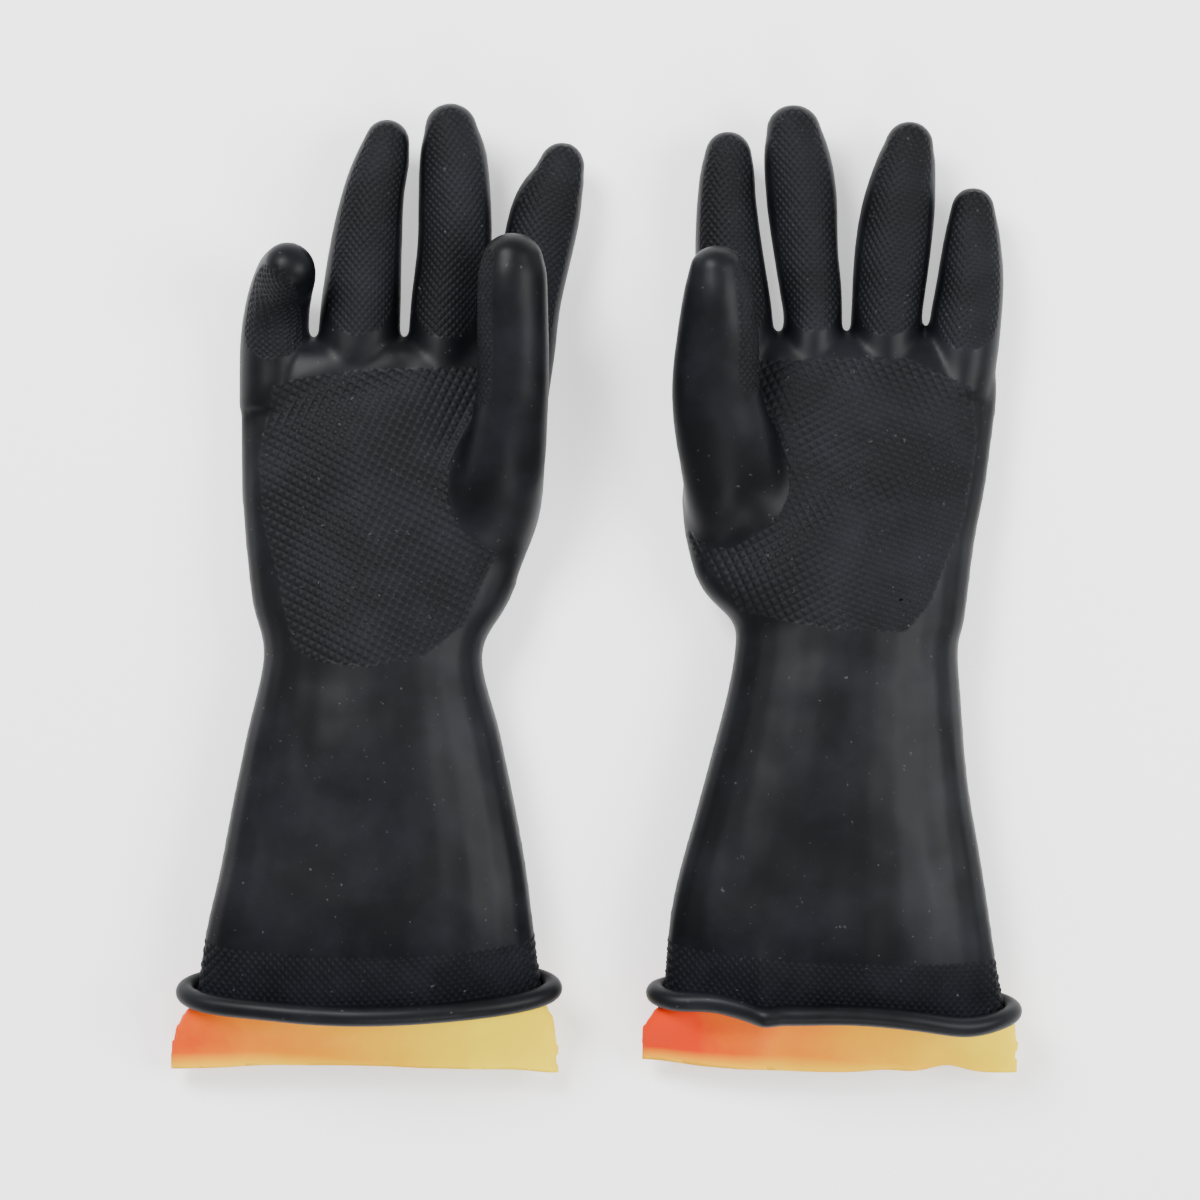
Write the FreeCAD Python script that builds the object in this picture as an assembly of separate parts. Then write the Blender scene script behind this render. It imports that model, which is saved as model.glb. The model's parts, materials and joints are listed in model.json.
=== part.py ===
"""A pair of two-ply electrical insulating gloves, lying on their backs with the palms up.

Each glove is a black rubber glove with an orange rubber glove inside it. The black ply ends at
the cuff in a rolled bead, and the orange ply goes on past the bead as a flattened lip. A rubber
glove bends everywhere, so here it is divided at the wrist and at each knuckle: every segment is a
hollow shell, and the near end of each one is a hollow ball that turns inside the far end of the
segment before it.

Frame: millimetres, +Z up from the table, +Y to the fingertips, origin on the table under the
middle of the pair. The right glove lies at -X and the left glove at +X.
"""
import FreeCAD, Part
import json
import math
import os

V = FreeCAD.Vector

# ---- rubber ------------------------------------------------------------------------------------
OUTER_PLY = 1.2          # black rubber
INNER_PLY = 0.8          # orange rubber
PLY_GAP = 0.1            # clearance drawn between the two plies
KNUCKLE_CLEAR = 0.4      # between a knuckle ball and the shell that it turns in
WRIST_CLEAR = 0.8
THROUGH = 2.0            # how far a cutting solid runs past the face that it opens

# ---- cuff, from the wrist hinge back: distance, half width, half height, centre height ----------
WRIST_HALF_WIDTH = 41.2
WRIST_HALF_HEIGHT = 21.5
WRIST_HEIGHT = 22.0
FOREARM_DISTANCE = 34.0
FOREARM_HALF_WIDTH = 46.2
FOREARM_HALF_HEIGHT = 21.5
FOREARM_HEIGHT = 23.0
CUFF_LENGTH = 123.0
CUFF_HALF_WIDTH = 62.5
CUFF_HALF_HEIGHT = 20.0
BEAD_RADIUS = 3.6
BEAD_STAND_OFF = 3.0     # from the cuff's wall out to the middle of the bead
BEAD_TILT = 10.0         # degrees: the top of the cuff's end reaches further back than its sides
LIP_LENGTH = 29.0        # orange ply past the end of the black one
LIP_HALF_WIDTH = 70.5
LIP_HALF_HEIGHT = 8.0
LIP_HEIGHT = 9.6

# ---- hand, from the wrist hinge forward ---------------------------------------------------------
PALM_LENGTH = 120.0
PALM_HALF_WIDTH = 57.0
PALM_HALF_HEIGHT = 14.0
PALM_HEIGHT = 15.5
HEEL_DISTANCE = 45.0
HEEL_HALF_WIDTH = 52.0
HEEL_HALF_HEIGHT = 19.0
HEEL_SHIFT = 3.0         # towards the thumb
HEEL_HEIGHT = 18.6
MIDDLE_DISTANCE = 88.0
MIDDLE_HALF_WIDTH = 57.0
MIDDLE_HALF_HEIGHT = 17.0
MIDDLE_SHIFT = 2.0
MIDDLE_HEIGHT = 16.8

# ---- fingers ------------------------------------------------------------------------------------
FINGER_HEIGHT = 16.0       # of the root knuckles' axes above the table
FINGER_HALF_HEIGHT = 13.2  # of the socket that the palm ends in at each finger
FINGER_TIP_RADIUS = 8.4
# name: (across from the palm's middle towards the thumb, knuckle ahead of the palm's end,
#        socket's half width, length to the middle knuckle, length from there to the tip)
FINGERS = {
    "index": (43.5, 14.0, 13.8, 29.0, 33.0),
    "middle": (15.5, 16.0, 13.6, 34.0, 37.0),
    "ring": (-15.0, 14.5, 13.8, 32.0, 34.5),
    "little": (-44.5, 9.0, 13.4, 21.0, 25.0),
}
SOCKET_DEPTH = 26.0      # of each finger's socket, from its knuckle back into the palm

THUMB_RADIUS = 14.4      # of its socket
THUMB_TIP_RADIUS = 9.4
THUMB_HEEL = (36.0, 46.0, 20.0)     # across, forward, height: where it starts inside the palm
THUMB_BEND = (46.0, 78.0, 41.0)     # where it turns to point forward
THUMB_SOCKET_LENGTH = 15.0
THUMB_SEGMENTS = (33.0, 34.0)

BALL_REACH = 0.6         # how far a ball reaches behind its axis, as a share of its radius
CUT_MARGIN = 0.6         # between a socket's mitred end and the hinge axis
WRIST_CUT_MARGIN = 2.5

# ---- how far each joint bends from straight, degrees --------------------------------------------
ROOT_LIMITS = (-20.0, 70.0)
BLOCKED_ROOT_LIMITS = (-20.0, 14.0)  # a finger that meets the thumb
MIDDLE_LIMITS = (-5.0, 75.0)
THUMB_ROOT_LIMITS = (-40.0, 35.0)    # across the palm, and away from it
THUMB_MIDDLE_LIMITS = (-5.0, 60.0)
WRIST_LIMITS = (-30.0, 45.0)
LIFT_TRAVEL = 300.0

# ---- how each glove lies ------------------------------------------------------------------------
# lean: degrees towards the thumb. bend: the two knuckles' rest angles above the table, degrees.
# set_back: how far back from its usual place a finger starts.
GLOVES = {
    "right": {
        "side": 1, "wrist": (-83.0, -27.0), "cuff_lean": 0.5, "hand_lean": 5.0,
        "thumb": {"lean": -3.0, "bend": (14.0, 6.0)},
        "lean": {"index": 9.0, "middle": -6.0, "ring": 3.2, "little": 0.0},
        "bend": {"index": (0.0, 5.0), "middle": (3.0, 8.0), "ring": (3.0, 8.0), "little": (42.0, 68.0)},
        "set_back": {"little": 6.0},
        "blocked": ("index", "middle"),
    },
    "left": {
        "side": -1, "wrist": (93.1, -26.4), "cuff_lean": -2.4, "hand_lean": 0.0,
        "thumb": {"lean": 0.0, "bend": (15.0, 7.0)},
        "lean": {"index": 1.6, "middle": 3.4, "ring": -6.9, "little": -2.8},
        "bend": {"index": (2.0, 6.0), "middle": (3.0, 8.0), "ring": (3.0, 8.0), "little": (2.0, 6.0)},
        "set_back": {},
        "blocked": ("index",),
    },
}

shapes = {}
joints = []


# ---- building blocks, each along its own +Y with the palm side up --------------------------------
def placement(origin, yaw=0.0, pitch=0.0, roll=0.0):
    turn = FreeCAD.Rotation(V(0, 0, 1), yaw)
    turn = turn.multiply(FreeCAD.Rotation(V(1, 0, 0), pitch))
    turn = turn.multiply(FreeCAD.Rotation(V(0, 1, 0), roll))
    return FreeCAD.Placement(V(*origin), turn)


def placed(shape, *places):
    """The shape, carried by each placement in turn, the innermost last."""
    whole = FreeCAD.Placement()
    for place in places:
        whole = whole.multiply(place)
    copy = shape.copy()
    copy.transformShape(whole.toMatrix())
    return copy


def oval(half_width, half_height, centre=V(0, 0, 0)):
    """The curve around a section that is at least as wide as it is high."""
    if half_width - half_height < 1e-6:
        circle = Part.Circle(centre, V(0, -1, 0), half_height)
        circle.XAxis = V(1, 0, 0)
        return circle
    return Part.Ellipse(centre + V(half_width, 0, 0), centre + V(0, 0, half_height), centre)


def loft(sections, inset=0.0, ruled=False):
    """A solid through (y, half width, half height, x, z) sections, drawn in by inset."""
    curves = [oval(w - inset, h - inset, V(x, y, z)) for y, w, h, x, z in sections]
    return Part.makeLoft([Part.Wire([curve.toShape()]) for curve in curves], True, ruled)


def straight(start, end, half_width, half_height):
    return loft([(start, half_width, half_height, 0, 0), (end, half_width, half_height, 0, 0)], ruled=True)


def ball(half_width, half_height, reach):
    """The part of a knuckle ball from its hinge axis back by reach; its axis is X."""
    arc = Part.Arc(oval(half_width, half_height), 0, math.pi).toBSpline().toShape()
    axis = Part.makeLine(arc.Vertexes[-1].Point, arc.Vertexes[0].Point)
    whole = Part.Face(Part.Wire([arc, axis])).revolve(V(0, 0, 0), V(1, 0, 0), 360)
    size = 2 * max(half_width, half_height) + 2
    behind = Part.makeBox(size, reach, size, V(-size / 2, -reach, -size / 2))
    return whole.common(behind)


def dome(radius):
    """Half a ball, from the origin forward."""
    arc = Part.Arc(Part.Circle(V(0, 0, 0), V(0, 0, 1), radius), 0, math.pi / 2).toBSpline().toShape()
    sides = [Part.makeLine(V(0, radius, 0), V(0, 0, 0)), Part.makeLine(V(0, 0, 0), V(radius, 0, 0))]
    return Part.Face(Part.Wire([arc] + sides)).revolve(V(0, 0, 0), V(0, 1, 0), 360)


def mitre(half_width, half_height, limits, margin):
    """What a socket loses at its end, so that the segment in it can bend between the limits."""
    up, down = (math.tan(math.radians(max(a, 0.0) / 2)) for a in (limits[1], -limits[0]))
    high = half_height + THROUGH
    far = half_height
    points = [V(0, -margin, 0), V(0, -margin - high * up, high), V(0, far, high),
              V(0, far, -high), V(0, -margin - high * down, -high)]
    face = Part.Face(Part.makePolygon(points + points[:1]))
    prism = face.extrude(V(2 * half_width + 2 * THROUGH, 0, 0))
    prism.translate(V(-half_width - THROUGH, 0, 0))
    return prism


def fused(parts):
    return parts[0].multiFuse(parts[1:]).removeSplitter()


def above(shape, height):
    """The shape where it is over a height."""
    box = shape.BoundBox
    size = 4 * box.DiagonalLength
    return shape.common(Part.makeBox(size, size, size, V(-size / 2, -size / 2, height)))


# ---- one segment of a finger --------------------------------------------------------------------
def segment(half_width, half_height, length, tip_radius, child_limits):
    """The outer and inner ply of a segment whose hinge axis is at its origin.

    A segment with a tip radius is domed. Any other ends in a socket for the next one."""
    reach = BALL_REACH * half_height

    def filled(inset, start, end):
        w, h = half_width - inset, half_height - inset
        if tip_radius:
            r = tip_radius - inset
            shaft_end = length - tip_radius
            body = loft([(start, w, h, 0, 0), (shaft_end, r, r, 0, 0)], ruled=True)
            return body.fuse(placed(dome(r), placement((0, shaft_end, 0))))
        return straight(start, end, w, h)

    end_past = length + THROUGH
    outer = fused([filled(0, 0, length), ball(half_width, half_height, reach)])
    hollow = fused([filled(OUTER_PLY, 0, end_past),
                    ball(half_width - OUTER_PLY, half_height - OUTER_PLY, reach + OUTER_PLY)])
    outer = outer.cut(hollow)
    if not tip_radius:
        cut = mitre(half_width, half_height, child_limits, CUT_MARGIN)
        cut.translate(V(0, length, 0))
        outer = outer.cut(cut)
    lining_start = CUT_MARGIN
    lining_end = length - (half_height - OUTER_PLY - KNUCKLE_CLEAR) - CUT_MARGIN
    lining = filled(OUTER_PLY + PLY_GAP, lining_start, lining_end)
    lining = lining.cut(filled(OUTER_PLY + PLY_GAP + INNER_PLY, lining_start, end_past))
    if tip_radius:
        lining = lining.cut(Part.makeBox(4 * half_width, THROUGH, 4 * half_height,
                                         V(-2 * half_width, lining_start - THROUGH, -2 * half_height)))
    return outer, lining


def next_size(half_size):
    """The half size of a ball that turns in a socket of this half size."""
    return half_size - OUTER_PLY - KNUCKLE_CLEAR


def add_joint(name, parent, child, place, limits, rest, axis_sign=1):
    """limits are from straight, and the joint counts from the rest angle."""
    axis = place.Rotation.multVec(V(axis_sign, 0, 0))
    joints.append({"name": name, "type": "hinge", "parent": parent, "child": child,
                   "pos_mm": place.Base, "axis": axis,
                   "range_deg": [limits[0] - rest, limits[1] - rest]})


def add_finger(glove, name, hand, root, sizes, lengths, tip_radius, bend, roll, limits, axis_sign=1):
    """Two segments from a root placement. bend holds each one's rest angle above the root."""
    side_name = f"{glove}_{name}"
    half_width, half_height = sizes
    origin, yaw, pitch = root
    place = hand.multiply(placement(origin, yaw, pitch + bend[0], roll))
    names = (f"{side_name}_base", f"{side_name}_tip")
    parent = f"{glove}_hand"
    rest = (0.0, 0.0) if roll else (bend[0], bend[1] - bend[0])
    for i, node in enumerate(names):
        half_width, half_height = next_size(half_width), next_size(half_height)
        outer, lining = segment(half_width, half_height, lengths[i], tip_radius if i else 0.0, limits[1])
        shapes[node] = placed(outer, place)
        shapes[f"{node}_lining"] = placed(lining, place)
        joint_name = f"{side_name}_{'middle' if i else 'root'}_bend"
        add_joint(joint_name, parent, node, place, limits[i], rest[i], axis_sign if i == 0 else 1)
        if i == 0:
            knuckle = place.multVec(V(0, lengths[0], 0))
            turn = hand.multiply(placement((0, 0, 0), yaw, pitch + bend[1], roll)).Rotation
            place = FreeCAD.Placement(knuckle, turn)
        parent = node


# ---- the hand -----------------------------------------------------------------------------------
def finger_root(glove, name):
    across, ahead = FINGERS[name][:2]
    side = GLOVES[glove]["side"]
    forward = PALM_LENGTH + ahead - GLOVES[glove]["set_back"].get(name, 0.0)
    return (side * across, forward, FINGER_HEIGHT), -side * GLOVES[glove]["lean"][name], 0.0


def finger_size(name):
    """The half width and half height of a finger's socket."""
    half_width = FINGERS[name][2]
    return half_width, min(half_width, FINGER_HALF_HEIGHT)


def thumb_root(glove):
    pose, side = GLOVES[glove]["thumb"], GLOVES[glove]["side"]
    bend = V(side * THUMB_BEND[0], THUMB_BEND[1], THUMB_BEND[2])
    yaw, pitch = -side * pose["lean"], pose["bend"][0]
    along = placement((0, 0, 0), yaw, pitch).Rotation.multVec(V(0, THUMB_SOCKET_LENGTH, 0))
    return tuple(bend + along), yaw, pitch


def palm_sections(side, clear=0.0, end_inset=0.0):
    wrist_width = WRIST_HALF_WIDTH - OUTER_PLY - WRIST_CLEAR
    wrist_height = WRIST_HALF_HEIGHT - OUTER_PLY - WRIST_CLEAR
    return [(clear, wrist_width, wrist_height, 0, WRIST_HEIGHT),
            (HEEL_DISTANCE, HEEL_HALF_WIDTH, HEEL_HALF_HEIGHT, side * HEEL_SHIFT, HEEL_HEIGHT),
            (MIDDLE_DISTANCE, MIDDLE_HALF_WIDTH, MIDDLE_HALF_HEIGHT, side * MIDDLE_SHIFT, MIDDLE_HEIGHT),
            (PALM_LENGTH - end_inset, PALM_HALF_WIDTH, PALM_HALF_HEIGHT, 0, PALM_HEIGHT)]


def tube_between(start, end, radius):
    axis = end - start
    tube = Part.makeCylinder(radius, axis.Length, start, axis)
    return [tube, Part.makeSphere(radius, start), Part.makeSphere(radius, end)]


def thumb_heel(glove, inset):
    """The bent tube that carries the thumb out of the palm, as far as its bend."""
    side = GLOVES[glove]["side"]
    start, end = (V(side * x, y, z) for x, y, z in (THUMB_HEEL, THUMB_BEND))
    return tube_between(start, end, THUMB_RADIUS - inset)


def add_hand(glove, hand):
    side = GLOVES[glove]["side"]
    sockets = []
    for name in FINGERS:
        place = placement(*finger_root(glove, name))
        sockets.append((place, *finger_size(name), SOCKET_DEPTH, ROOT_LIMITS))
    thumb_place = placement(*thumb_root(glove), roll=-90.0 * side)
    thumb_limits = (-THUMB_ROOT_LIMITS[1], -THUMB_ROOT_LIMITS[0])
    sockets.append((thumb_place, THUMB_RADIUS, THUMB_RADIUS, THUMB_SOCKET_LENGTH, thumb_limits))

    wrist_width, wrist_height = palm_sections(side)[0][1:3]
    wrist_reach = BALL_REACH * wrist_height

    def filled(inset, end_past, reach_past):
        parts = [loft(palm_sections(side, end_inset=inset), inset)]
        wrist_ball = ball(wrist_width - inset, wrist_height - inset, wrist_reach + reach_past)
        parts.append(placed(wrist_ball, placement((0, 0, WRIST_HEIGHT))))
        parts += thumb_heel(glove, inset)
        for place, w, h, depth, _ in sockets:
            parts.append(placed(straight(-depth, end_past, w - inset, h - inset), place))
        return above(fused(parts), inset)

    outer = filled(0, 0, 0)
    for place, w, h, _, limits in sockets:
        outer = outer.cut(placed(mitre(w, h, limits, CUT_MARGIN), place))
    shapes[f"{glove}_hand"] = placed(outer.cut(filled(OUTER_PLY, THROUGH, OUTER_PLY)), hand)

    first, second = OUTER_PLY + PLY_GAP, OUTER_PLY + PLY_GAP + INNER_PLY
    lining = above(loft(palm_sections(side, CUT_MARGIN, first), first), first)
    hollow = above(loft(palm_sections(side, 0.0, second), second), second)
    lining = lining.cut(hollow)
    for place, w, h, depth, _ in sockets:
        lining = lining.cut(placed(straight(-depth, THROUGH, w, h), place))
    lining = lining.cut(fused(thumb_heel(glove, 0)))
    shapes[f"{glove}_hand_lining"] = placed(lining, hand)


# ---- the cuff -----------------------------------------------------------------------------------
def cuff_sections():
    """From the wrist to a little past the cuff's end."""
    past = CUFF_HALF_HEIGHT / 2
    slope = (CUFF_HALF_WIDTH - FOREARM_HALF_WIDTH) / (CUFF_LENGTH - FOREARM_DISTANCE)
    return [(0, WRIST_HALF_WIDTH, WRIST_HALF_HEIGHT, 0, WRIST_HEIGHT),
            (-FOREARM_DISTANCE, FOREARM_HALF_WIDTH, FOREARM_HALF_HEIGHT, 0, FOREARM_HEIGHT),
            (-CUFF_LENGTH, CUFF_HALF_WIDTH, CUFF_HALF_HEIGHT, 0, bead_height()),
            (-CUFF_LENGTH - past, CUFF_HALF_WIDTH + slope * past, CUFF_HALF_HEIGHT, 0, bead_height())]


def bead_height():
    """The height of the cuff's axis at its end, which rests the bead on the table."""
    return CUFF_HALF_HEIGHT + BEAD_STAND_OFF + BEAD_RADIUS


def add_cuff(glove, cuff):
    tilt = placement((0, -CUFF_LENGTH, bead_height()), pitch=BEAD_TILT)
    size = 4 * CUFF_HALF_WIDTH
    behind = placed(Part.makeBox(size, size, size, V(-size / 2, -size, -size / 2)), tilt)
    long_cuff = loft(cuff_sections())
    outer = long_cuff.cut(behind).cut(loft(cuff_sections(), OUTER_PLY))
    wrist_cut = mitre(WRIST_HALF_WIDTH, WRIST_HALF_HEIGHT, WRIST_LIMITS, WRIST_CUT_MARGIN)
    outer = outer.cut(placed(wrist_cut, placement((0, 0, WRIST_HEIGHT))))
    shapes[f"{glove}_cuff"] = placed(outer, cuff)

    across = CUFF_HALF_WIDTH + BEAD_STAND_OFF
    high = (CUFF_HALF_HEIGHT + BEAD_STAND_OFF) / math.cos(math.radians(BEAD_TILT))
    path = Part.Wire([Part.Ellipse(V(across, 0, 0), V(0, 0, high), V(0, 0, 0)).toShape()])
    section = Part.Wire([Part.Circle(V(across, 0, 0), V(0, 0, 1), BEAD_RADIUS).toShape()])
    bead = placed(path.makePipeShell([section], True, True), tilt)
    shapes[f"{glove}_rolled_bead"] = placed(bead.cut(long_cuff), cuff)

    first, second = OUTER_PLY + PLY_GAP, OUTER_PLY + PLY_GAP + INNER_PLY
    lining_start = WRIST_HALF_HEIGHT + CUT_MARGIN

    def filled(inset, past):
        length = CUFF_LENGTH - lining_start + past
        kept = Part.makeBox(size, length, size, V(-size / 2, -CUFF_LENGTH, -size / 2))
        body = loft(cuff_sections(), inset).common(kept)
        lip_in = inset - first
        lip = [(-CUFF_LENGTH, CUFF_HALF_WIDTH - inset, CUFF_HALF_HEIGHT - inset, 0, bead_height()),
               (-CUFF_LENGTH - LIP_LENGTH, LIP_HALF_WIDTH - lip_in, LIP_HALF_HEIGHT - lip_in, 0, LIP_HEIGHT)]
        return fused([body, loft(lip, ruled=True)])

    shapes[f"{glove}_cuff_lining"] = placed(filled(first, 0).cut(filled(second, THROUGH)), cuff)


# ---- the pair -----------------------------------------------------------------------------------
def add_glove(glove):
    pose = GLOVES[glove]
    side = pose["side"]
    cuff = placement((*pose["wrist"], 0), -side * pose["cuff_lean"])
    hand = placement((*pose["wrist"], 0), -side * pose["hand_lean"])
    add_cuff(glove, cuff)
    add_hand(glove, hand)
    wrist = hand.multiply(placement((0, 0, WRIST_HEIGHT)))
    add_joint(f"{glove}_wrist_bend", f"{glove}_cuff", f"{glove}_hand", wrist, WRIST_LIMITS, 0.0)
    for name, (_, _, _, base_length, tip_length) in FINGERS.items():
        root_limits = BLOCKED_ROOT_LIMITS if name in pose["blocked"] else ROOT_LIMITS
        add_finger(glove, name, hand, finger_root(glove, name), finger_size(name),
                   (base_length, tip_length), FINGER_TIP_RADIUS, pose["bend"][name], 0.0,
                   (root_limits, MIDDLE_LIMITS))
    origin, yaw, pitch = thumb_root(glove)
    turn = (0.0, pose["thumb"]["bend"][1] - pitch)
    add_finger(glove, "thumb", hand, (origin, yaw, pitch), (THUMB_RADIUS, THUMB_RADIUS),
               THUMB_SEGMENTS, THUMB_TIP_RADIUS, turn, -90.0 * side,
               (THUMB_ROOT_LIMITS, THUMB_MIDDLE_LIMITS), axis_sign=-1)


def main():
    for glove in GLOVES:
        add_glove(glove)
    joints.append({"name": "left_glove_lift", "type": "slide", "parent": "right_cuff", "child": "left_cuff",
                   "pos_mm": V(0, 0, 0), "axis": V(0, 0, 1), "range_mm": [0.0, LIFT_TRAVEL]})

    whole = FreeCAD.BoundBox()
    for shape in shapes.values():
        whole.add(shape.optimalBoundingBox(False))
    to_middle = V(-whole.Center.x, -whole.Center.y, 0)

    os.makedirs("parts", exist_ok=True)
    for node, shape in shapes.items():
        shape.translate(to_middle)
        shape.exportStep(f"parts/{node}.step")
        note = "" if shape.isValid() and len(shape.Solids) == 1 else "  CHECK THIS ONE"
        print(f"{node:28s} {len(shape.Solids)} solid {shape.Volume:9.1f} mm3{note}")
    for joint in joints:
        where = joint["pos_mm"] + (to_middle if joint["type"] == "hinge" else V(0, 0, 0))
        joint["pos_mm"] = [round(c, 4) for c in where]
        joint["axis"] = [round(c, 6) for c in joint["axis"]]
        print("joint", json.dumps(joint))
    print("moved to the middle by", round(to_middle.x, 4), round(to_middle.y, 4))


main()
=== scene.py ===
"""A pair of two-ply rubber insulating gloves, lying on their backs with the palms up.

The black ply and the orange lining of each glove are each grown as one skin, laid unevenly, opened
at the cuff and given a wall. The diamond grip is pressed into the black one. Both are then divided
between the places where the glove bends, so that each stretch can follow its part of the frame. The
rolled bead is a ring drawn out to the oval that the black ply ends in.
"""
import json
import math
import bmesh
import bpy
import numpy as np
from mathutils import Matrix, Vector, noise


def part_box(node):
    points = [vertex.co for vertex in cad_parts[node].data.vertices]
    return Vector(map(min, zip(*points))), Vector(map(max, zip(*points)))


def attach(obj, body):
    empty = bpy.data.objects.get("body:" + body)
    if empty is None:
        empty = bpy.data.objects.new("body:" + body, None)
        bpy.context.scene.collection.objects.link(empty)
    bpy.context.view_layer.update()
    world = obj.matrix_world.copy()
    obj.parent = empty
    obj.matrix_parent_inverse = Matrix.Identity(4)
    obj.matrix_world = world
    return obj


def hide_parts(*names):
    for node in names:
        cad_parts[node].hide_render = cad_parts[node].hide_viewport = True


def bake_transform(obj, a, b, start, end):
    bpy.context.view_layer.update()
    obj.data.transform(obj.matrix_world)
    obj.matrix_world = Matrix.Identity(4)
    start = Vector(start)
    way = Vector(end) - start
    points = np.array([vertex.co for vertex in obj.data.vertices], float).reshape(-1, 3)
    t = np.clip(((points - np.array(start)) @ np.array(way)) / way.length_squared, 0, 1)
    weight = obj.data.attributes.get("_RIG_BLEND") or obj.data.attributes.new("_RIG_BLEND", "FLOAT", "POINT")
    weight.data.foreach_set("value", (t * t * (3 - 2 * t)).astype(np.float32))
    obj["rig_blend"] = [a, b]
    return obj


bl_info = {
    "name": "Insulating Gloves",
    "version": (1, 0, 0),
    "blender": (4, 5, 0),
    "location": "3D View > Sidebar > Gloves",
    "description": "Black and orange rubber gauntlets with a diamond grip and a rolled bead",
    "category": "Add Mesh",
}

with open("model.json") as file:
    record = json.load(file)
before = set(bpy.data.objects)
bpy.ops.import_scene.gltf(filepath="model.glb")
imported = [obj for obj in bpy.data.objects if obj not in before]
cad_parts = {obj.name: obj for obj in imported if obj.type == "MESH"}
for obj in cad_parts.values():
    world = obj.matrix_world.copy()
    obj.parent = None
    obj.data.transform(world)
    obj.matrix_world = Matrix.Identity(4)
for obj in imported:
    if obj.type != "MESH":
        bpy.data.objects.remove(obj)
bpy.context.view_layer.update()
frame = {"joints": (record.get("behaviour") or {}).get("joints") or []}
MM = 0.001
JOINTS = {joint["name"]: joint for joint in frame["joints"]}
FINGERS = ("index", "middle", "ring", "little")
DIGITS = FINGERS + ("thumb",)
UP = np.array([0.0, 0.0, 1.0])

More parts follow.
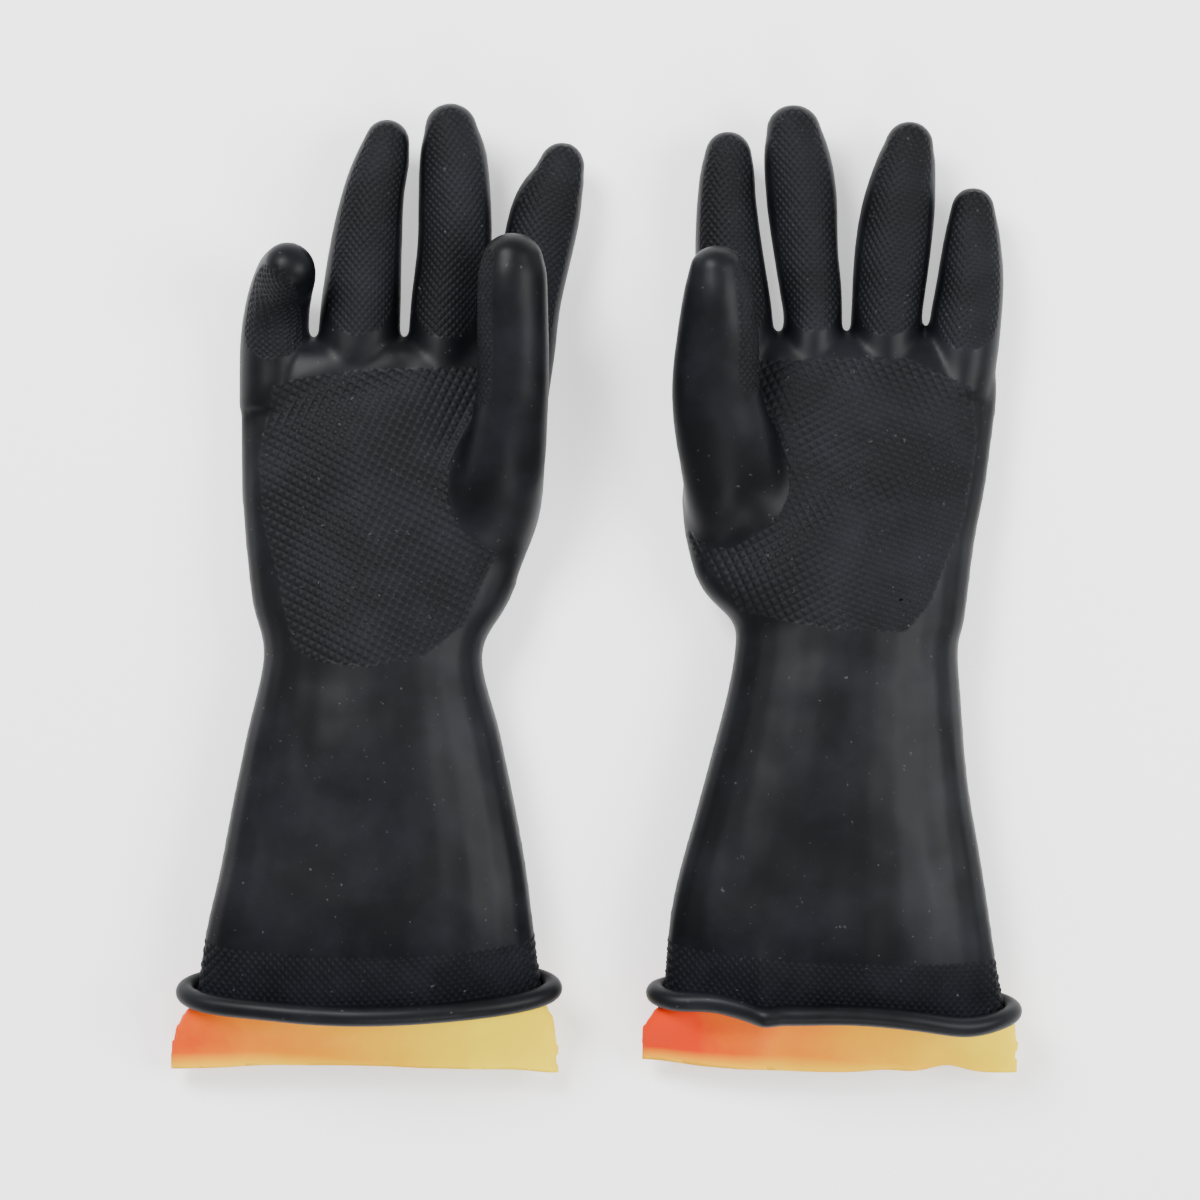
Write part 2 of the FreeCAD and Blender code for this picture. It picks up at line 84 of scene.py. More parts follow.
# ---- the gloves' forms, in millimetres -----------------------------------------------------------
# A station is (across, along, height, half width, half height): across and along count from the
# joint at the limb's root, and the height from the table. Across and along count from the wrist's
# joint in the rest:
#   tips       how far a digit's round tip reaches past its last station
#   lip        stations of the lining where it leaves the black ply
#   lip_end    along, where the lip ends
#   lip_waves  the lip's wavy end: (across, half width, forward)
#   end        the black ply's end and its bead: (across, along, height, lean, tilt, half width)
#   redder     how far the lining's red end reaches in, as a share of its half width
#   palm       outline of the palm's grip: (across, along)
FORMS = {
    "right": {
        "side": 1,
        "arm": [(1.8, -134, 25, 65.4, 19), (1.8, -121, 26, 63.6, 20), (1.9, -95, 25, 60, 21),
                (3.0, -70, 24, 55.6, 21.5), (3.1, -29, 23, 47.2, 21.5), (2.5, 2.5, 22, 40.4, 20),
                (5.4, 23, 20.5, 47.7, 19.5), (9.8, 53, 18.6, 55, 18), (10.4, 75, 17.6, 56.4, 17),
                (9.9, 97, 16.6, 56.2, 15.5), (9.7, 108, 16.3, 55.4, 13.4), (9.6, 114, 16.1, 54.5, 11),
                (9.5, 118, 16, 53, 7), (9.5, 119.5, 16, 52, 3)],
        "index": [(-1.4, -37, 16, 13, 13), (1.2, -15, 16, 13.5, 13), (4.4, 5, 16, 12.8, 12.6),
                  (10.9, 35, 17.5, 13.1, 12), (16, 49, 18.5, 10, 9.8), (17.1, 53, 18.8, 8.8, 8.6)],
        "middle": [(-1, -38, 16, 13, 13), (1.8, -15, 16, 13.6, 13), (2.9, 0, 16.3, 13.5, 13),
                   (5.1, 19, 17.5, 13.8, 12.8), (5.3, 38, 19.5, 13.4, 12.3), (4.8, 53, 21.5, 12.5, 11),
                   (4.2, 62, 23, 10, 9.2)],
        "ring": [(-0.6, -39, 16, 13, 13), (0.6, -12, 16, 15.3, 13), (2.6, 14, 17, 13.9, 12.8),
                 (6.0, 37, 19.5, 11.6, 11.6), (9.4, 50, 21, 10.1, 10), (10.9, 56, 22, 8.6, 8.4)],
        "little": [(-0.2, -33, 16, 13, 12.5), (-0.4, -10, 16, 12.8, 12.3), (0.8, 3, 20, 12, 12),
                   (3.2, 11.5, 28, 11.3, 11.3), (5.4, 15.5, 37, 10.7, 10.4), (6.8, 17.5, 43, 9.5, 9.1)],
        "thumb": [(-14, -54, 14, 14, 9), (-12, -42, 20, 19, 13), (-6, -26, 28, 19.2, 14.5),
                  (-1.8, -13, 37, 15.8, 13.8), (1.0, 9, 46, 13.4, 13), (1.3, 35, 52.5, 12.9, 12.3),
                  (1.2, 52, 55, 12.4, 11.8), (1.2, 57, 55.6, 11.2, 10.6)],
        "tips": {"index": 9, "middle": 9.5, "ring": 8.5, "little": 8, "thumb": 10},
        "lip": [(1.8, -110, 26.5, 59.6, 17.6), (1.8, -119, 26.5, 60.6, 17.4),
                (1.0, -126, 24.5, 66.4, 16.4), (-0.2, -134, 19.5, 71, 13.6),
                (-1.2, -146, 12, 72.8, 9), (-1.4, -158, 9.5, 73, 8)],
        "lip_end": -150.5,
        "lip_waves": [(-30, 45, 2.6), (72, 16, -2.4)],
        "end": (1.4, -119.9, 26, -0.009, 0.345, 67.3),
        "redder": 0.0,
        "palm": [(-33.5, 102), (-2, 107), (42, 108), (43, 80), (48, 40), (36, 14), (22, 3),
                 (2, -1), (-16, 1), (-26, 6), (-31, 30), (-37, 50), (-39, 75)],
    },
    "left": {
        "side": -1,
        "arm": [(-4.4, -134, 25, 64.4, 19), (-4.8, -121, 26, 62.4, 20), (-6.0, -89, 25, 58, 20.5),
                (-3.9, -52, 23.5, 50.4, 21.5), (-0.8, -15, 22.5, 43.7, 21), (0.2, 4, 22, 41.2, 20),
                (1.0, 14, 21.5, 42.7, 19.8), (-3.4, 26, 20.5, 49.1, 19.5), (-5.6, 45, 19, 54.1, 19),
                (-4.0, 67, 18, 56.5, 17.5), (0.4, 97, 16.6, 56, 15.5), (0.5, 108, 16.3, 55.4, 13.4),
                (0.6, 114, 16.1, 54.4, 11), (0.6, 119, 16, 53, 7), (0.6, 121, 16, 52, 3)],
        "index": [(4.5, -38, 16, 13.5, 13), (4.2, -13, 16, 13.6, 13), (0.9, 15, 16.8, 12.9, 12.8),
                  (-0.1, 36, 18.5, 11.1, 11.2), (0.5, 48, 20, 9.8, 9.6), (0.7, 52, 20.4, 8.8, 8.6)],
        "middle": [(2.5, -38, 16, 12.5, 13), (3.8, -12, 16, 10.8, 12.5), (3.0, 0, 16.3, 11.4, 12.3),
                   (1.4, 14, 17.3, 12, 12.2), (-0.3, 34, 19.5, 13.2, 12), (-2.3, 50, 21, 12.3, 10.9),
                   (-3.2, 59, 22.3, 10.2, 9.2)],
        "ring": [(-1, -37, 16, 12.5, 13), (0.4, -8, 16, 13.3, 13), (2.6, 14, 17.3, 14.1, 12.8),
                 (5.2, 34, 19.2, 13.4, 12), (7.7, 51, 21.2, 10.6, 9.8), (8.3, 55, 21.6, 9.2, 8.8)],
        "little": [(-2.4, -31, 16, 12.5, 12.5), (-0.4, -10, 16, 13.4, 12.6), (1.8, 10, 16.5, 12.3, 12),
                   (2.6, 26, 17.6, 10.5, 10.2), (2.9, 37, 18.5, 8.4, 8.2)],
        "thumb": [(15, -60, 14, 14, 9), (13, -46, 20, 21, 13), (7.4, -31, 28, 21.4, 15),
                  (3.4, -18, 35, 19, 14.5), (-1.8, 5, 44.5, 16.3, 13.5), (-1.5, 26, 50.5, 14.9, 12.6),
                  (-1.7, 42, 54, 12.4, 11.4), (-2.0, 49, 55.5, 10.4, 9.8)],
        "tips": {"index": 9, "middle": 9.5, "ring": 9, "little": 8.5, "thumb": 8.5},
        "lip": [(-4.7, -112, 26.5, 58.6, 17.6), (-4.8, -122, 26.5, 59.6, 17.4),
                (-5.2, -128, 24.5, 65.4, 16.4), (-5.5, -136, 18.8, 69.8, 13.2),
                (-5.5, -148, 11, 70.7, 8.6), (-5.6, -158, 9.5, 71.2, 8)],
        "lip_end": -151.5,
        "lip_waves": [(-72, 22, 3.1), (14, 9, 1.2), (38, 8, 2.4)],
        "end": (-4.3, -124.6, 26, 0.047, 0.23, 65.3),
        "redder": 0.28,
        "palm": [(-31.5, 110), (22, 111), (46, 100), (48, 80), (43, 52), (30, 21), (21, 11),
                 (-4, 12), (-38, 18), (-54, 38), (-58, 46), (-50, 60), (-34, 80)],
    },
}
BEAD_HALF_HEIGHT = 22.2

# ---- how the meshes are made ---------------------------------------------------------------------
TUBE_SIDES = 28
ROUND_TIP = (20, 38, 54, 68, 80)
SKIN_ROUNDS, LINING_ROUNDS, THUMB_ROUNDS = 12, 5, 70
BEAD_SIDES, BEAD_STEPS, BEAD_RING = 20, 300, 0.25


class GloveForm(bpy.types.PropertyGroup):
    """Sizes of the skins and of what is pressed into them."""
    surface_step: bpy.props.FloatProperty(
        name="Surface step", description="Grid that the black skin is grown on",
        default=1.2 * MM, unit="LENGTH", precision=5)
    lining_step: bpy.props.FloatProperty(
        name="Lining step", description="Grid that the lining is grown on",
        default=2.2 * MM, unit="LENGTH", precision=5)
    ply: bpy.props.FloatProperty(
        name="Black ply", description="Thickness of the black rubber",
        default=1.2 * MM, unit="LENGTH", precision=5)
    lining_ply: bpy.props.FloatProperty(
        name="Orange ply", description="Thickness of the orange rubber",
        default=1.1 * MM, unit="LENGTH", precision=5)
    ply_gap: bpy.props.FloatProperty(
        name="Gap between plies", description="Clearance between the black and the orange skin",
        default=0.9 * MM, unit="LENGTH", precision=5)
    palm_grip: bpy.props.FloatProperty(
        name="Palm diamonds", description="Distance between the palm's grooves",
        default=2.9 * MM, unit="LENGTH", precision=5)
    finger_grip: bpy.props.FloatProperty(
        name="Finger diamonds", description="Distance between the fingers' grooves",
        default=2.1 * MM, unit="LENGTH", precision=5)
    grip_depth: bpy.props.FloatProperty(
        name="Grip depth", description="Height of a diamond above its grooves",
        default=0.38 * MM, unit="LENGTH", precision=5)
    band: bpy.props.FloatProperty(
        name="Cuff band", description="Length of the gripping band above the bead",
        default=19 * MM, unit="LENGTH")
    bead_radius: bpy.props.FloatProperty(
        name="Bead radius", description="Radius of the rolled bead",
        default=3.7 * MM, unit="LENGTH", precision=5)


class GloveColours(bpy.types.PropertyGroup):
    """Colours of the two rubbers and of the dust on them."""
    black: bpy.props.FloatVectorProperty(
        name="Black rubber", description="Outer ply", subtype="COLOR", default=(0.0021, 0.0023, 0.0032))
    # Scuffed colour: real rubbing wear in the soft mottle, and also a painted highlight that lightens the
    # diamonds' raised tops.
    scuff_and_painted_highlight: bpy.props.FloatVectorProperty(
        name="Scuffed rubber", description="Outer ply where it is rubbed", subtype="COLOR",
        default=(0.0068, 0.0074, 0.0102))
    dust: bpy.props.FloatVectorProperty(
        name="Dust", description="Specks on the rubber", subtype="COLOR", default=(0.06, 0.06, 0.065))
    red: bpy.props.FloatVectorProperty(
        name="Red end", description="Lining where it is reddest", subtype="COLOR",
        default=(0.66, 0.03, 0.0))
    orange: bpy.props.FloatVectorProperty(
        name="Orange", description="Lining", subtype="COLOR", default=(0.78, 0.20, 0.0))
    yellow: bpy.props.FloatVectorProperty(
        name="Yellow edge", description="Lining where it is yellowest", subtype="COLOR",
        default=(0.86, 0.62, 0.0))


# ---- arrays and meshes ---------------------------------------------------------------------------
def places(mesh):
    co = np.empty(len(mesh.vertices) * 3, np.float32)
    mesh.vertices.foreach_get("co", co)
    return co.reshape(-1, 3).astype(float)


def move_to(mesh, co):
    mesh.vertices.foreach_set("co", np.ascontiguousarray(co, np.float32).ravel())
    mesh.update()


def outward(mesh):
    """The normal at each vertex."""
    normals = np.empty(len(mesh.vertices) * 3, np.float32)
    mesh.vertex_normals.foreach_get("vector", normals)
    return normals.reshape(-1, 3).astype(float)


def note(mesh, name, values, kind="FLOAT", domain="POINT"):
    """Keeps one value for each vertex or face with the mesh."""
    attribute = mesh.attributes.get(name) or mesh.attributes.new(name, kind, domain)
    key = "vector" if kind == "FLOAT_VECTOR" else "value"
    attribute.data.foreach_set(key, np.ascontiguousarray(values).ravel())


def noted(mesh, name, width=1, kind=np.float32):
    attribute = mesh.attributes[name]
    values = np.empty(len(attribute.data) * width, kind)
    attribute.data.foreach_get("vector" if width == 3 else "value", values)
    return values.reshape(-1, width) if width > 1 else values


def shown(name, mesh):
    piece = bpy.data.objects.new(name, mesh)
    bpy.context.scene.collection.objects.link(piece)
    return piece


def with_modifiers(mesh, *modifiers):
    """The mesh after (type, settings) modifiers."""
    piece = shown("making", mesh)
    for kind, settings in modifiers:
        modifier = piece.modifiers.new(kind.title(), kind)
        for key, value in settings.items():
            setattr(modifier, key, value)
    made = bpy.data.meshes.new_from_object(piece.evaluated_get(bpy.context.evaluated_depsgraph_get()))
    bpy.data.objects.remove(piece)
    bpy.data.meshes.remove(mesh)
    return made


def smoothstep(value, low, high):
    share = np.clip((value - low) / (high - low), 0, 1)
    return share * share * (3 - 2 * share)


def uneven(co, size, seed):
    """Soft noise from -1 to 1 at each place, with lumps of about that size."""
    shift = Vector((seed * 7.3, seed * 3.1, seed * 5.7))
    return np.array([noise.noise(Vector(p) / size + shift) for p in co])


# ---- limbs: tubes through stations ---------------------------------------------------------------
class Limb:
    """An arm, finger or thumb: rings through its stations, at even steps, with a round tip."""

    def __init__(self, stations, root, tip=0.0, inset=0.0, step=3 * MM, square=False):
        rings = np.array(stations, float) * MM
        rings[:, 0] += root[0]
        rings[:, 1] += root[1]
        rings[:, 3:] -= inset
        rings = self.eased(rings, step)
        self.rings = self.rounded(rings, tip * MM - inset) if tip else rings
        self.centres = self.rings[:, :3]
        ahead = np.gradient(self.centres, axis=0)
        if square:
            ahead[:] = (0, 1, 0)
        self.ahead = ahead / np.linalg.norm(ahead, axis=1)[:, None]
        side = np.cross(self.ahead, UP)
        self.side = side / np.linalg.norm(side, axis=1)[:, None]
        self.up = np.cross(self.side, self.ahead)
        steps = np.linalg.norm(np.diff(self.centres, axis=0), axis=1)
        self.distance = np.concatenate([[0], np.cumsum(steps)])

    @staticmethod
    def eased(rings, step):
        """Rings on a smooth curve through the stations."""
        ends = np.vstack([2 * rings[0] - rings[1], rings, 2 * rings[-1] - rings[-2]])
        made = []
        for a, b, c, d in zip(ends, ends[1:], ends[2:], ends[3:]):
            count = max(1, round(np.linalg.norm(c[:3] - b[:3]) / step))
            for t in np.arange(count) / count:
                turn = (c - a) * t + (2 * a - 5 * b + 4 * c - d) * t ** 2
                turn = turn + (3 * (b - c) + d - a) * t ** 3
                made.append(b + turn / 2)
        return np.array(made + [rings[-1]])

    @staticmethod
    def rounded(rings, length):
        last, ahead = rings[-1], rings[-1, :3] - rings[-2, :3]
        ahead = ahead / np.linalg.norm(ahead)
        tips = [[*(last[:3] + ahead * length * math.sin(turn)), *(last[3:] * math.cos(turn))]
                for turn in np.radians(ROUND_TIP)]
        return np.vstack([rings, tips])

    def matrix(self, i):
        w, h = self.rings[i, 3:]
        columns = [self.side[i] * w, self.up[i] * h, self.ahead[i], self.centres[i]]
        whole = np.eye(4)
        whole[:3, :] = np.array(columns).T
        return Matrix(whole.tolist())

    def add_to(self, bm):
        """Draws the limb as a closed tube: a ring, extruded from station to station."""
        place = self.matrix(0)
        ring = bmesh.ops.create_circle(bm, segments=TUBE_SIDES, radius=1.0, matrix=place)["verts"]
        edges = list({edge for vert in ring for edge in vert.link_edges})
        bmesh.ops.edgeloop_fill(bm, edges=edges)
        for i in range(1, len(self.rings)):
            made = bmesh.ops.extrude_edge_only(bm, edges=edges)["geom"]
            ring = [part for part in made if isinstance(part, bmesh.types.BMVert)]
            inside = set(ring)
            edges = [part for part in made if isinstance(part, bmesh.types.BMEdge)
                     and part.verts[0] in inside and part.verts[1] in inside]
            bmesh.ops.transform(bm, matrix=self.matrix(i) @ place.inverted(), verts=ring)
            place = self.matrix(i)
        bmesh.ops.edgeloop_fill(bm, edges=edges)

    def around(self, co):
        """For each place: distance along, angle from the top (radians), and share of the radius."""
        nearest = np.empty(len(co), int)
        for start in range(0, len(co), 20000):
            gap = co[start:start + 20000, None, :] - self.centres[None]
            nearest[start:start + 20000] = np.argmin((gap ** 2).sum(2), axis=1)
        offset = co - self.centres[nearest]
        along = (offset * self.ahead[nearest]).sum(1)
        across = (offset * self.side[nearest]).sum(1)
        above = (offset * self.up[nearest]).sum(1)
        share = np.hypot(across / self.rings[nearest, 3], above / self.rings[nearest, 4])
        share = np.where((along > 0) & (nearest == len(self.centres) - 1), share + along / MM, share)
        share = np.where((along < 0) & (nearest == 0), share - along / MM, share)
        radius = self.rings[nearest, 3:].mean(1)
        return self.distance[nearest] + along, np.arctan2(across, above), share, radius


def joint_place(name):
    return np.array(JOINTS[name]["pos_m"], float)


def limbs_of(glove, inset=0.0):
    """The arm and the five digits of a glove, by name."""
    form = FORMS[glove]
    limbs = {"arm": Limb(form["arm"], joint_place(f"{glove}_wrist_bend"), inset=inset, square=True)}
    for digit in DIGITS:
        root = joint_place(f"{glove}_{digit}_root_bend")
        limbs[digit] = Limb(form[digit], root, tip=form["tips"][digit], inset=inset)
    return limbs


def grown(limbs, step, rounds):
    """One closed skin around all of the limbs, with its corners softened."""
    bm = bmesh.new()
    for limb in limbs:
        limb.add_to(bm)
    bmesh.ops.recalc_face_normals(bm, faces=bm.faces)
    mesh = bpy.data.meshes.new("form")
    bm.to_mesh(mesh)
    bm.free()
    return with_modifiers(
        mesh, ("REMESH", {"mode": "VOXEL", "voxel_size": step, "adaptivity": 0.0}),
        ("SMOOTH", {"factor": 0.5, "iterations": rounds}))


def thumb_eased_in(mesh, limbs):
    """Lets the thumb run softly into the palm."""
    co = places(mesh)
    thumb, arm = (limbs[name].around(co)[2] for name in ("thumb", "arm"))
    near = (1 - smoothstep(np.abs(thumb - arm), 0.15, 0.7)) * (np.maximum(thumb, arm) < 2)
    ends = np.empty(len(mesh.edges) * 2, np.int32)
    mesh.edges.foreach_get("vertices", ends)
    first, second = ends.reshape(-1, 2).T
    count = np.bincount(ends, minlength=len(co))
    for _ in range(THUMB_ROUNDS):
        for i in range(3):
            total = np.bincount(first, co[second, i], len(co))
            total += np.bincount(second, co[first, i], len(co))
            co[:, i] += (total / count - co[:, i]) * near * 0.5
    move_to(mesh, co)


def opened(mesh, point, normal):
    """The skin, cut open where it passes a plane."""
    bm = bmesh.new()
    bm.from_mesh(mesh)
    everything = bm.verts[:] + bm.edges[:] + bm.faces[:]
    bmesh.ops.bisect_plane(bm, geom=everything, plane_co=point, plane_no=normal, clear_outer=True,
                           dist=1e-6)
    bm.to_mesh(mesh)
    bm.free()
    return mesh


def given_thickness(mesh, thickness):
    """The skin with a wall; its first vertices stay the outside."""
    count = len(mesh.vertices)
    made = with_modifiers(mesh, ("SOLIDIFY", {"thickness": thickness, "offset": -1.0, "use_rim": True}))
    note(made, "outside", (np.arange(len(made.vertices)) < count).astype(np.float32))
    return made


# ---- how a glove divides where it bends ----------------------------------------------------------
# How far each bend spreads before and after its hinge, at the root and in the middle, mm.
ZONES = {"index": ((13, 13), (13, 13)), "middle": ((13, 13), (13, 13)), "ring": ((13, 13), (13, 13)),
         "little": ((10, 10), (10, 10)), "thumb": ((3, 17), (13, 13))}
WRIST_ZONE = (20, 20)
CUT_CLEAR = 1.6


def unit(vector):
    return vector / np.linalg.norm(vector)


def bends_of(glove):
    """For each digit: its two hinge places and the directions of the glove through them."""
    bends = {}
    for digit in DIGITS:
        root = joint_place(f"{glove}_{digit}_root_bend")
        middle = joint_place(f"{glove}_{digit}_middle_bend")
        low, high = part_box(f"{glove}_{digit}_tip")
        first = unit(middle - root)
        second = unit((np.array(low) + np.array(high)) / 2 - middle)
        before = first if digit == "thumb" else np.array([0.0, 1.0, 0.0])
        bends[digit] = ((root, unit(before + first)), (middle, unit(first + second)))
    return bends


def divided(mesh, glove, limbs):
    """Labels each face with its stretch: 0 arm, 1 hand, then root and end of each digit."""
    co = places(mesh)
    shares = {name: limb.around(co)[2] for name, limb in limbs.items()}
    wrist = joint_place(f"{glove}_wrist_bend")
    stretch = np.where(co[:, 1] > wrist[1] + (WRIST_ZONE[1] + CUT_CLEAR) * MM, 1, 0)
    for i, (digit, (root, middle)) in enumerate(bends_of(glove).items()):
        before = ZONES[digit][0][0] + CUT_CLEAR
        rivals = ["arm"] if digit == "thumb" else [other for other in DIGITS if other != digit]
        mine = np.all([shares[digit] < shares[other] for other in rivals], axis=0)
        mine &= (co - root[0]) @ root[1] > -before * MM
        between = (root[0] + middle[0]) / 2
        if digit == "thumb":
            mine &= shares[digit] < 1.5
            between = root[0] + unit(middle[0] - root[0]) * (ZONES[digit][0][1] + CUT_CLEAR) * MM
        beyond = (co - between) @ unit(middle[0] - root[0]) > 0
        stretch = np.where(mine, 2 + 2 * i, stretch)
        stretch = np.where(mine & beyond, 3 + 2 * i, stretch)
    corners = np.empty(len(mesh.loops), np.int32)
    mesh.loops.foreach_get("vertex_index", corners)
    starts = np.empty(len(mesh.polygons), np.int32)
    mesh.polygons.foreach_get("loop_start", starts)
    faces = np.minimum.reduceat(stretch[corners], starts)
    note(mesh, "stretch", faces.astype(np.int32), kind="INT", domain="FACE")


def closed_ends(bm):
    """Joins the outside and the inside of a stretch where it was divided."""
    edges = {edge for edge in bm.edges if edge.is_boundary}
    loops = []
    while edges:
        loop, waiting = [], [edges.pop()]
        while waiting:
            edge = waiting.pop()
            loop.append(edge)
            for vert in edge.verts:
                for other in vert.link_edges:
                    if other in edges:
                        edges.remove(other)
                        waiting.append(other)
        loops.append(loop)
    middles = [sum((edge.verts[0].co for edge in loop), Vector()) / len(loop) for loop in loops]
    while len(loops) > 1:
        loop, middle = loops.pop(), middles.pop()
        nearest = min(range(len(loops)), key=lambda i: (middles[i] - middle).length)
        bmesh.ops.bridge_loops(bm, edges=loop + loops.pop(nearest))
        middles.pop(nearest)


def stretch_names(glove, kind):
    """(label, piece name, body it starts on, body it ends on, node it stands for, bend)."""
    end = "_lining" if kind == "lining" else ""
    wrist = joint_place(f"{glove}_wrist_bend")
    ahead = np.array([0.0, 1.0, 0.0])
    rows = [(0, f"{glove}_gauntlet_{kind}", f"{glove}_cuff", f"{glove}_hand", f"{glove}_cuff{end}",
             (wrist, ahead, WRIST_ZONE)),
            (1, f"{glove}_hand_{kind}", f"{glove}_hand", None, f"{glove}_hand{end}", None)]
    for i, (digit, (root, middle)) in enumerate(bends_of(glove).items()):
        base, tip = f"{glove}_{digit}_base", f"{glove}_{digit}_tip"
        rows.append((2 + 2 * i, f"{glove}_{digit}_root_{kind}", f"{glove}_hand", base, base + end,
                     (*root, ZONES[digit][0])))
        rows.append((3 + 2 * i, f"{glove}_{digit}_end_{kind}", base, tip, tip + end,
                     (*middle, ZONES[digit][1])))
    return rows


def taken_apart(mesh, glove, kind, material):
    """Makes a piece of each stretch, shaded as one skin, and hands it to the frame."""
    note(mesh, "whole_normal", outward(mesh).astype(np.float32), kind="FLOAT_VECTOR")
    mesh.materials.clear()
    mesh.materials.append(material)
    for label, name, first, last, node, bend in stretch_names(glove, kind):
        bm = bmesh.new()
        bm.from_mesh(mesh)
        layer = bm.faces.layers.int["stretch"]
        others = [face for face in bm.faces if face[layer] != label]
        bmesh.ops.delete(bm, geom=others, context="FACES")
        if not bm.faces:
            raise RuntimeError(f"{name} has no faces")
        closed_ends(bm)
        for face in bm.faces:
            face.smooth = True
        part = bpy.data.meshes.new(name)
        bm.to_mesh(part)
        bm.free()
        part.materials.append(material)
        part.normals_split_custom_set_from_vertices(noted(part, "whole_normal", 3).tolist())
        for spare in ("whole_normal", "stretch"):
            if spare in part.attributes:
                part.attributes.remove(part.attributes[spare])
        piece = shown(name, part)
        if last:
            place, ahead, (before, after) = bend
            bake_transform(piece, first, last, start=tuple(place - ahead * before * MM),
                     end=tuple(place + ahead * after * MM))
        else:
            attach(piece, first)
        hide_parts(node)
    bpy.data.meshes.remove(mesh)


# ---- how the rubber lies -------------------------------------------------------------------------
# Folds: (from, to, half width, depth) in mm from the wrist's joint; a negative depth is a ridge.
FOLDS = {
    "right": [((-46, 88), (12, 112), 5.5, 1.8), ((-40, 58), (-6, 78), 11, -1.2),
              ((30, 20), (16, 52), 9, 1.4), ((-36, -60), (-20, -8), 9, 0.9)],
    "left": [((-36, 24), (40, 94), 9, -1.7), ((-20, 70), (2, 56), 15, 2.6),
             ((-44, 44), (-34, 62), 6, 1.4), ((34, -70), (24, -10), 8, 0.9)],
}
# Waves of the cuff's upper edge: (across from the wrist's joint, half width, forward, upward), mm.
EDGE_WAVES = {
    "right": [(0, 30, -0.6, 0.0), (-38, 16, 0.5, 0.0)],
    "left": [(2, 22, 1.9, 0.0), (45, 15, -2.6, 0.0), (-49, 11, 2.0, -3.6), (-31, 5, -1.0, 1.9)],
}


def lying(co, glove):
    """Where the places of an even glove come to lie: soft lumps, folds and a flat underside."""
    joint = joint_place(f"{glove}_wrist_bend")
    seed = FORMS[glove]["side"] + 3
    upper = smoothstep(co[:, 2], 10 * MM, 30 * MM)
    laid = co.copy()
    laid[:, 2] += upper * (uneven(co, 34 * MM, seed) * 0.9 + uneven(co, 13 * MM, seed + 1) * 0.3) * MM
    laid[:, 0] += uneven(co, 40 * MM, seed + 2) * 0.8 * MM
    flat = (co[:, :2] - joint[:2]) / MM
    for start, end, width, depth in FOLDS[glove]:
        start, run = np.array(start), np.array(end) - np.array(start)
        share = np.clip((flat - start) @ run / (run @ run), 0, 1)
        off = np.linalg.norm(flat - start - share[:, None] * run, axis=1)
        laid[:, 2] -= upper * depth * MM * np.exp(-(off / width) ** 2)
    edge = (1 - smoothstep(flat[:, 1], -122, -98)) * smoothstep(co[:, 2], 15 * MM, 32 * MM)
    for across, width, forward, lift in EDGE_WAVES[glove]:
        bump = edge * np.exp(-((flat[:, 0] - across) / width) ** 2)
        laid[:, 1] += bump * forward * MM
        laid[:, 2] += bump * lift * MM
    laid[:, 2] = np.maximum(laid[:, 2], 0.3 * MM)
    return laid


def end_plane(glove):
    """A place in the plane that the black ply ends in, and its outward direction."""
    _, along, height, lean, tilt, _ = FORMS[glove]["end"]
    place = joint_place(f"{glove}_wrist_bend") + np.array([0.0, along, 0.0]) * MM
    place[2] = height * MM
    return place, unit(np.array([-lean, -1.0, -tilt]))


# ---- the diamond grip ----------------------------------------------------------------------------
PALM_GROOVES, BAND_GROOVES, DIGIT_GROOVES = (28, -64), (45, -50), (42, -51)
# A digit's patch: (turned from the top, half its width, both in radians; start past the root's
# joint and end short of the tip, both in mm).
FINGER_PATCH = (0.0, 1.0, -15, 1.5)
THUMB_PATCH = (1.15, 0.52, 6, 5)


def edge_distance(flat, corners):
    """Distance inside a closed outline; negative outside."""
    corners = np.array(corners, float)
    inside = np.zeros(len(flat), bool)
    nearest = np.full(len(flat), np.inf)
    for a, b in zip(corners, np.roll(corners, -1, axis=0)):
        run = b - a
        share = np.clip((flat - a) @ run / (run @ run), 0, 1)
        nearest = np.minimum(nearest, np.linalg.norm(flat - a - share[:, None] * run, axis=1))
        straddles = (a[1] > flat[:, 1]) != (b[1] > flat[:, 1])
        crossing = a[0] + (flat[:, 1] - a[1]) * run[0] / (run[1] if run[1] else 1e-9)
        inside ^= straddles & (flat[:, 0] < crossing)
    return np.where(inside, nearest, -nearest)


def diamonds(across, along, grooves, spacing):
    """Height, 0 to 1, of diamonds between two families of grooves at angles in degrees."""
    heights = []
    for angle in grooves:
        turn = math.radians(angle)
        phase = (along * math.cos(turn) - across * math.sin(turn)) / spacing
        heights.append(1 - 2 * np.abs(phase - np.floor(phase) - 0.5))
    return smoothstep(np.minimum(*[1 - h for h in heights]), 0.08, 0.72)


